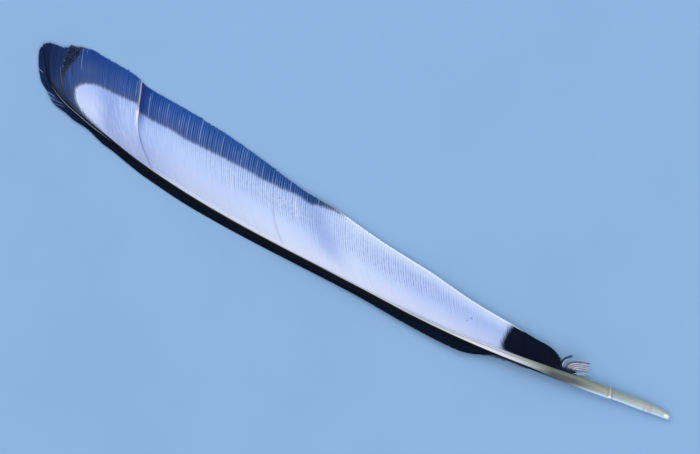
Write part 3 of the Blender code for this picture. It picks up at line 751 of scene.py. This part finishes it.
class Nodes:
    """The nodes of one material. A value may be a number, an sRGB colour of 0 to 255, another node's output,
    or the name of the numbers that the piece holds."""

    def __init__(self, name):
        self.material = bpy.data.materials.new(name)
        self.material.use_nodes = True
        self.tree = self.material.node_tree
        self.shader = self.tree.nodes["Principled BSDF"]
        self.place = self.tree.nodes.new("ShaderNodeTexCoord").outputs["Object"]

    def fill(self, node, values):
        """Puts values on a node's inputs."""
        for key, value in values.items():
            socket = node.inputs[key]
            if isinstance(value, str):
                value = self.node("Attribute", {}, attribute_name=value).outputs["Fac"]
            if isinstance(value, bpy.types.NodeSocket):
                self.tree.links.new(value, socket)
            else:
                socket.default_value = linear(*value) if socket.type == "RGBA" else value

    def node(self, kind, values, **settings):
        """A new node with these settings, and these values on its inputs."""
        made = self.tree.nodes.new("ShaderNode" + kind)
        for name, setting in settings.items():
            setattr(made, name, setting)
        self.fill(made, values)
        return made

    def math(self, operation, a, b=0.0):
        return self.node("Math", {0: a, 1: b}, operation=operation).outputs[0]

    def plus(self, a, b):
        return self.math("ADD", a, b)

    def minus(self, a, b):
        return self.math("SUBTRACT", a, b)

    def times(self, first, *others):
        for other in others:
            first = self.math("MULTIPLY", first, other)
        return first

    def ramp(self, value, low, high, at_low=0.0, at_high=1.0):
        """A number that goes smoothly from at_low to at_high while value goes from low to high."""
        values = {"Value": value, "From Min": low, "From Max": high, "To Min": at_low, "To Max": at_high}
        return self.node("MapRange", values, interpolation_type="SMOOTHSTEP").outputs["Result"]

    def fall(self, value, low, high, at_low=1.0):
        return self.ramp(value, low, high, at_low, 0.0)

    def peak(self, value, middle, flat, foot, height=1.0):
        """A number that is height while value is within flat of middle, and 0 from foot on."""
        return self.fall(self.math("ABSOLUTE", self.minus(value, middle)), flat, foot, height)

    def mix(self, share, a, b):
        return self.node("Mix", {"Factor": share, "A": a, "B": b}, data_type="RGBA").outputs["Result"]

    def layers(self, colour, *over):
        """A colour with others laid over it in turn: (shares that are multiplied, colour)."""
        for *shares, laid in over:
            colour = self.mix(self.times(*shares), colour, laid)
        return colour

    def stops(self, value, *stops):
        """What value gives on the way through stops: (value, red, green, blue) or (value, number)."""
        first, last = stops[0][0], stops[-1][0]
        share = self.node("MapRange", {"Value": value, "From Min": first, "From Max": last})
        node = self.node("ValToRGB", {"Fac": share.outputs["Result"]})
        elements = node.color_ramp.elements
        for i, (at, *held) in enumerate(stops):
            stop = elements[i] if i < 2 else elements.new(1.0)
            stop.position = (at - first) / (last - first)
            stop.color = linear(*held) if len(held) == 3 else (*held * 3, 1.0)
        return node.outputs["Color"]

    def noise(self, scale, detail=2.0, stretch=(1, 1, 1)):
        stretched = self.node("Mapping", {"Vector": self.place, "Scale": stretch}).outputs["Vector"]
        return self.node("TexNoise", {"Vector": stretched, "Scale": scale, "Detail": detail}).outputs["Fac"]

    def near(self, distance, side, radius):
        """How near a place in the feather's plan is: 1 within half the radius, 0 from the radius on."""
        x, y, _ = plan_to_frame((distance, side, 0.0))
        values = {0: self.place, 1: (1, 1, 0), 2: (-x, -y, 0)}
        offset = self.node("VectorMath", values, operation="MULTIPLY_ADD").outputs[0]
        length = self.node("VectorMath", {0: offset}, operation="LENGTH").outputs["Value"]
        return self.fall(length, radius * MM / 2, radius * MM)

    def finish(self, colour, roughness, gloss, relief, strength, depth):
        """The material with these on its shader; the relief's depth is in metres."""
        bump = self.node("Bump", {"Strength": strength, "Distance": depth, "Height": relief}).outputs[0]
        values = {"Base Color": colour, "Roughness": roughness, "Specular IOR Level": gloss, "Normal": bump}
        self.fill(self.shader, values)
        return self.material


def finish_vane(n, colour, smoothest, roughest, grain):
    """A vane's material, with ribs across a barb where its barbules lie side by side."""
    along = n.times("from_tip", math.tau / BARBULE_PITCH)
    ribs = n.math("SINE", n.plus(along, n.times("across", BARBULE_SLANT)))
    relief = n.plus(ribs, n.times(grain, 2.0))
    roughness = n.ramp("tone", 0, 1, smoothest, roughest)
    return n.finish(colour, roughness, VANE_GLOSS, relief, 0.25, FINE_RELIEF)


def slate_colour(n, depth, fine):
    """The broad vane outside its white field: slate, hatched edge, worn tip and black foot."""
    beside_shaft = n.fall("from_tip", 20, 25)
    cloudy = n.stops("from_tip", (0, 0.05), (10, 0.25), (80, 0.25), (100, 0.03))
    hatched = n.ramp("from_tip", 54, 60)
    lit = n.times(
        n.stops(
            "from_tip", (0, 0.06), (18, 0.12), (24, 0.34), (30, 0.5), (40, 0.6), (54, 0.7), (59, 1.0),
            (68, 0.85), (73, 0.25), (84, 0.0),
        ),
        n.ramp("tone", 0, 1, n.fall(hatched, 0, 1, 0.5), n.ramp(hatched, 0, 1, 1.5, 2.0)),
        n.ramp(depth, -3.2, -1.2, 1.0, n.ramp(hatched, 0, 1, 0.5, 1.0)),
    )
    ridge = n.peak("across", 0.0, 0.25, 0.65)
    outer_blue = n.stops(
        "from_tip", (0, 10, 56, 138), (12, 16, 60, 138), (19, 34, 74, 144), (25, 12, 62, 144),
        (32, 24, 78, 156), (54, 26, 78, 148), (68, 20, 64, 128),
    )
    brown = n.layers(
        (6, 14, 26), (n.ramp(n.noise(2300), 0.45, 0.6), (48, 53, 56)), (n.ramp("side", 0, 4), (60, 64, 66)),
    )
    return n.layers(
        # The slate along the feather; its darker stop at 26 mm is painted shadow beside the split
        n.stops(
            "from_tip", (0, 2, 16, 48), (3.6, 0, 22, 64), (5.2, 8, 33, 77), (9.5, 48, 74, 132),
            (12.5, 57, 83, 141), (16, 44, 79, 149), (22, 56, 89, 155), (26, 34, 66, 136), (33, 50, 80, 149),
            (54, 55, 84, 149), (62, 54, 76, 136), (67, 32, 54, 104), (71, 24, 44, 84), (75, 106, 100, 98),
            (79, 140, 130, 126),
        ),
        (n.ramp("from_tip", 81, 84), (4, 15, 33)),
        # Painted shade beside the shaft near the tip
        (n.fall("share", 0.2, 0.55, 0.7), beside_shaft, n.ramp("from_tip", 4, 9, 0.2, 1.0), (40, 46, 70)),
        (n.fall("share", 0.06, 0.2, 0.8), beside_shaft, (16, 26, 46)),
        (n.ramp(depth, -1.8, -0.1, 0.0, 0.5), n.fall("from_tip", 70, 76), (82, 96, 130)),
        (n.ramp(n.noise(90, 3.0), 0.35, 0.7, 0.0, cloudy), (62, 72, 104)),
        # The hatching: painted highlight on the barbs' ridges and painted shade in the gaps beside them
        (ridge, lit, n.stops("from_tip", (50, 118, 150, 214), (60, 140, 168, 224))),
        (n.minus(1.0, ridge), lit, n.stops("from_tip", (50, 24, 46, 108), (60, 12, 32, 88))),
        (
            n.fall("to_edge", 0.2, 5.2, 0.85), n.ramp("from_tip", 5.5, 10.5, 0.12, 1.0),
            n.fall("from_tip", 68, 76), outer_blue,
        ),
        ("split_shade", 0.9, (8, 44, 116)),
        ("worn", 0.9, brown),
        (n.ramp(fine, 0.62, 0.7), n.ramp("worn", 0.05, 0.3), n.fall("worn", 0.5, 0.8, 0.6), (170, 178, 190)),
        ("split_fringe_and_highlight", 0.95, (86, 94, 122)),
    )


def white_colour(n, depth, ridge):
    """The broad vane's white field, finely lined by its barbs."""
    # Paler and darker bands of the white run with the barbs, aslant: painted light and shade of the vane's
    # slow waves
    aslant = n.minus("from_tip", n.times("side", 0.66))
    dashes = n.noise(1100, 1.0)
    unbroken = n.ramp(depth, 0.3, 2.0, 0.9, n.ramp("from_tip", 68, 78, 0.5, 0.55))
    lines = n.times(
        n.stops(
            "from_tip", (10, 0.0), (18, 0.14), (22, 0.34), (30, 0.16), (44, 0.25), (54, 0.64), (68, 0.78),
            (76, 0.42), (86, 0.62), (100, 0.56), (112, 0.3), (122, 0.14),
        ),
        n.ramp("share", 0.4, 0.64), n.ramp(dashes, 0.4, 0.58, unbroken, 1.0),
        n.ramp("to_edge", 0.7, 2.3, n.ramp("from_tip", 74, 84, 1.0, 0.15), 1.0),
    )
    strokes = n.times(
        n.ramp(n.math("SINE", n.plus(n.times("share", 17.0), n.times("tone", 60.0))), 0.1, 0.9), ridge,
        n.ramp(dashes, 0.35, 0.6, 0.4, 1.0),
        n.stops("from_tip", (10, 0.34), (26, 0.34), (32, 0.24), (48, 0.18), (56, 0.0)),
    )
    bordered = n.stops("from_tip", (11, 0.0), (18, 0.4), (74, 0.4), (79, 0.0), (105, 0.0), (115, 0.4))
    split_shade = n.ramp("split_shade", 0.42, 0.74, 0.0, n.ramp("share", 0.42, 0.72, 0.08, 0.62))
    return n.layers(
        n.stops(
            aslant, (9, 184, 203, 250), (13.5, 184, 202, 250), (18, 149, 173, 231), (22.5, 176, 198, 247),
            (27, 170, 192, 244), (36, 187, 208, 251), (50, 189, 209, 251), (62, 196, 215, 254),
            (72, 187, 207, 250), (82, 203, 220, 253), (98, 186, 205, 249), (120, 175, 195, 241),
        ),
        # Painted light: the white is lighter towards the shaft, with a thin paler strip right beside it
        (
            n.fall("share", 0.0, 0.6, 0.95),
            n.stops(
                aslant, (8, 226, 236, 255), (14, 218, 228, 255), (17, 166, 179, 219), (28, 166, 180, 221),
                (38, 198, 208, 240), (52, 213, 222, 249), (63, 224, 230, 253), (91, 220, 226, 252),
                (104, 212, 220, 250), (121, 190, 201, 237),
            ),
        ),
        (
            n.fall("share", 0.02, 0.1, 0.5), n.ramp("from_tip", 33, 42), n.fall("from_tip", 70, 80),
            (236, 242, 255),
        ),
        # Painted shade in the gaps beside the barbs' ridges
        (n.minus(1.0, ridge), lines, (104, 124, 178)),
        (strokes, (218, 228, 255)),
        # Painted shade in the fold and along the crease
        ("fold", 0.5, (140, 160, 220)),
        ("crease_shade", 0.4, (140, 150, 206)),
        # Painted light near the rolled edge at the foot, and a painted highlight along the rim itself
        (n.fall("to_edge", 0.4, 3.4, 0.6), n.ramp("from_tip", 77, 83), (216, 230, 255)),
        ("rim_highlight", (248, 254, 255)),
        (n.fall("white", 0.1, 2.2, bordered), (150, 176, 232)),
        (split_shade, (62, 90, 154)),
        # Painted highlight on the raised tip-side barbs beside the split; in the slate the same number marks
        # their worn fringe
        (n.math("POWER", "split_fringe_and_highlight", 3.0), n.ramp("share", 0.36, 0.74, 0.0, 0.85), (250, 253, 255)),
        *((n.near(*speck), 0.45, (96, 108, 140)) for speck in SPECKS),
    )


def inner_vane_material():
    """Slate border, white field and black foot, each with its barbs' ridges."""
    n = Nodes("broad_vane")
    ridge = n.peak("across", 0.0, 0.15, 0.9)
    crest = n.math("POWER", ridge, 2.0)
    fine = n.noise(2600)
    depth = n.plus("white", n.times(n.minus(fine, 0.5), 0.3))
    inside = n.ramp(depth, -0.4, n.ramp("from_tip", 95, 115, 0.4, 1.1))
    colour = n.layers(
        slate_colour(n, depth, fine),
        (inside, white_colour(n, depth, ridge)),
        # The seam between slate and white
        (
            n.ramp(depth, -0.45, -0.05), n.fall(depth, 0.05, 0.4), n.fall("from_tip", 84, 90, 0.3),
            (108, 118, 146),
        ),
        # Painted shadow line along the split
        ("split_shadow_line", n.ramp("share", 0.3, 0.5, 0.42, 0.2), (70, 80, 120)),
        # Painted highlight on the last barb on the tip side of the split
        (
            "split_edge_highlight", n.ramp("share", 0.5, 0.8, 0.0, 0.85), crest,
            n.mix(inside, (178, 184, 224), (252, 253, 255)),
        ),
        ("pale", crest, n.mix(inside, (140, 168, 222), (236, 246, 255))),
        # Painted highlight at the end of the rim
        ("rim_highlight", n.fall("to_edge", 0.05, 0.3), n.fall("from_tip", 124.5, 127.2), (230, 244, 255)),
    )
    return finish_vane(n, colour, 0.5, 0.7, fine)


def outer_vane_material():
    """Black with a blue cast, bluer at the tip and brown where the barbs come apart."""
    n = Nodes("narrow_vane")
    ridge = n.peak("across", 0.0, 0.15, 0.95)
    colour = n.layers(
        n.stops(
            "from_tip", (0, 10, 32, 66), (4, 12, 34, 72), (9, 10, 34, 74), (14, 6, 20, 46), (22, 3, 10, 24),
            (100, 3, 13, 32), (118, 3, 13, 30), (134, 7, 12, 22),
        ),
        ("parted", 0.7, (34, 74, 130)),
        # Painted glint on the barbs' ridges, strongest near the tip
        (n.ramp("from_tip", 6, 24, 0.55, 0.14), n.ramp("tone", 0.2, 1.0, 0.1, 1.0), ridge, (40, 62, 104)),
        ("fringe", n.mix(n.ramp(n.noise(600), 0.4, 0.6), (58, 50, 62), (96, 80, 88))),
        ("pale", ridge, (166, 184, 214)),
    )
    return finish_vane(n, colour, 0.45, 0.6, n.noise(2600))


def horn_colour(n, streaks):
    """The pale horn of the quill and of the strip along the rachis."""
    away = n.ramp("lateral", 0.1, 0.62)
    fading = n.fall("from_tip", 126, 132, 0.6)
    tilted = n.minus("from_tip", n.times("lateral", 0.25))
    horn = n.layers(
        n.stops(
            "from_tip", (104, 202, 208, 224), (122, 218, 224, 240), (129, 198, 207, 222),
            (131.5, 180, 188, 190), (136.6, 84, 90, 92), (142, 92, 98, 101), (149.5, 162, 168, 160),
            (152, 148, 170, 170), (158, 186, 194, 190), (LENGTH, 192, 204, 206),
        ),
        (
            n.fall("lateral", -0.5, -0.1), n.ramp("from_tip", 118, 140, 0.15, 0.65),
            n.ramp("from_tip", 149, 152, 1.0, 0.6), (122, 133, 112),
        ),
        # Painted light: the side away from the broad vane is lighter and bluer towards the quill end
        (away, n.ramp("from_tip", 140, 157, 0.0, 0.7), (206, 226, 246)),
        # Painted shade on that side near the foot of the vanes
        (away, n.peak("from_tip", 136.0, 1.0, 4.0, 0.45), (74, 82, 104)),
        (n.ramp(n.noise(160, 3.0, (0.5, 1, 1)), 0.45, 0.66, 0.0, 0.16), (120, 104, 100)),
        (n.ramp(streaks, 0.5, 0.76, 0.0, 0.2), (206, 208, 198)),
        # A brown line and a bright crest along the strip
        (n.peak("lateral", -0.46, 0.04, 0.16), n.ramp("from_tip", 98, 106), fading, (132, 122, 112)),
        (n.peak("lateral", 0.22, 0.05, 0.3), n.ramp("from_tip", 108, 116), fading, (240, 242, 244)),
        # Painted highlight along the quill's edge away from the broad vane
        (n.ramp("lateral", 0.5, 0.78), n.ramp("from_tip", 138, 150, 0.0, 0.97), (232, 246, 255)),
        *((n.peak(tilted, at, half / 2, half, share), colour) for at, half, share, colour in QUILL_BANDS),
    )
    for at, beside, reach, width in QUILL_GLINTS:
        along = n.math("DIVIDE", n.minus("from_tip", at), reach)
        across = n.math("DIVIDE", n.minus("lateral", beside), width)
        squared = n.plus(n.times(along, along), n.times(across, across))
        horn = n.mix(n.fall(squared, 0.3, 1.0), horn, (250, 250, 248))
    return horn


def shaft_material():
    """Black rachis with a pale strip that widens into the quill, pith showing through it."""
    n = Nodes("quill")
    streaks = n.noise(300, 4.0, (0.12, 1, 1))
    grain = n.noise(3000, 2.0, (0.1, 1, 1))
    black = n.layers(
        (0, 5, 12),
        (n.ramp(streaks, 0.4, 0.7, 0.0, 0.3), (6, 14, 24)),
        # Painted highlight: a thin light line along the rachis near the tip
        (
            n.peak("lateral", 0.3, 0.04, 0.24), n.ramp("from_tip", 5.2, 9), n.fall("from_tip", 19, 25, 0.9),
            (166, 170, 184),
        ),
    )
    across = n.times(n.plus("lateral", 1.0), 0.5)
    dark = n.ramp(n.minus(across, n.stops("from_tip", *PALE_WIDTH)), -0.04, 0.06)
    roughness = n.ramp(grain, 0.3, 0.7, 0.28, 0.44)
    colour = n.mix(dark, horn_colour(n, streaks), black)
    return n.finish(colour, roughness, HORN_GLOSS, n.plus(grain, streaks), 0.3, HORN_RELIEF)


def down_material():
    """Dark curls, brown and pale filaments, all dark where they leave the shaft."""
    n = Nodes("down")
    cloud = n.noise(1500)
    colour = n.layers(
        n.stops(
            "tint", (0, 24, 34, 74), (0.15, 34, 42, 78), (0.35, 100, 90, 110), (0.45, 136, 118, 130),
            (0.6, 170, 162, 178), (0.9, 234, 232, 242), (1.0, 200, 230, 252),
        ),
        (n.ramp(cloud, 0.4, 0.7, 0.0, 0.15), (110, 100, 112)),
        (n.fall("from_shaft", 2.0, 2.6, 0.97), n.fall("tint", 0.97, 1.0), (22, 32, 68)),
    )
    return n.finish(colour, n.ramp(cloud, 0.3, 0.7, 0.7, 0.95), DOWN_GLOSS, cloud, 0.3, FINE_RELIEF)


def build_camera():
    """Straight above the feather, with the frame that the photograph has."""
    data = bpy.data.cameras.new("camera")
    data.lens = FOCAL_MM
    data.sensor_width = SENSOR_MM
    data.clip_start = 0.01
    data.dof.use_dof = False
    camera = link("camera", data)
    middle = plan_to_frame((*VIEW_MIDDLE, VIEW_HEIGHT))
    above = (0, 0, VIEW_WIDTH * MM * FOCAL_MM / SENSOR_MM)
    turned = Matrix.Rotation(math.pi + VIEW_TURN, 4, "Z")
    camera.matrix_world = Matrix.Translation(middle + above) @ turned
    bpy.context.scene.camera = camera


def build_floor():
    """A plain pale table top."""
    size = 3.0
    mesh = bpy.data.meshes.new("floor")
    corners = [(-size, -size, 0), (size, -size, 0), (size, size, 0), (-size, size, 0)]
    mesh.from_pydata(corners, [], [(0, 1, 2, 3)])
    n = Nodes("floor")
    colour = n.mix(n.ramp(n.noise(30, 3.0), 0.3, 0.7), (140, 178, 220), (143, 181, 223))
    n.fill(n.shader, {"Base Color": colour, "Roughness": 0.9})
    mesh.materials.append(n.material)
    link("floor", mesh)


def build_light(name, place, power):
    """A square soft light that faces the feather."""
    data = bpy.data.lights.new(name, "AREA")
    data.shape = "SQUARE"
    data.size = LIGHT_SIZE
    data.energy = power
    light = link(name, data)
    light.location = place
    light.rotation_euler = Vector(place).to_track_quat("Z", "Y").to_euler()


def build_studio():
    build_floor()
    build_light("key", (0.4, -0.5, 0.85), 4.6)
    build_light("fill", (-0.6, 0.4, 0.8), 2.6)
    world = bpy.data.worlds.new("studio")
    world.use_nodes = True
    background = world.node_tree.nodes["Background"].inputs
    background["Color"].default_value = (0.9, 0.95, 1.0, 1)
    background["Strength"].default_value = 0.6
    bpy.context.scene.world = world
    bpy.context.scene.view_settings.view_transform = "Standard"


def build():
    build_camera()
    build_studio()
    down = down_material()
    placed = [
        (build_shaft(shaft_material()), "quill"),
        (build_outer_vane(outer_vane_material()), "narrow_vane"),
        (build_stray_barbs(down), "down"),
    ]
    placed += [(piece, "broad_vane") for piece in build_inner_vane(inner_vane_material())]
    placed += [(piece, "down") for piece in build_down_tuft(down)]
    for piece, finish in placed:
        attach(piece, "root")
        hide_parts("feather")


build()
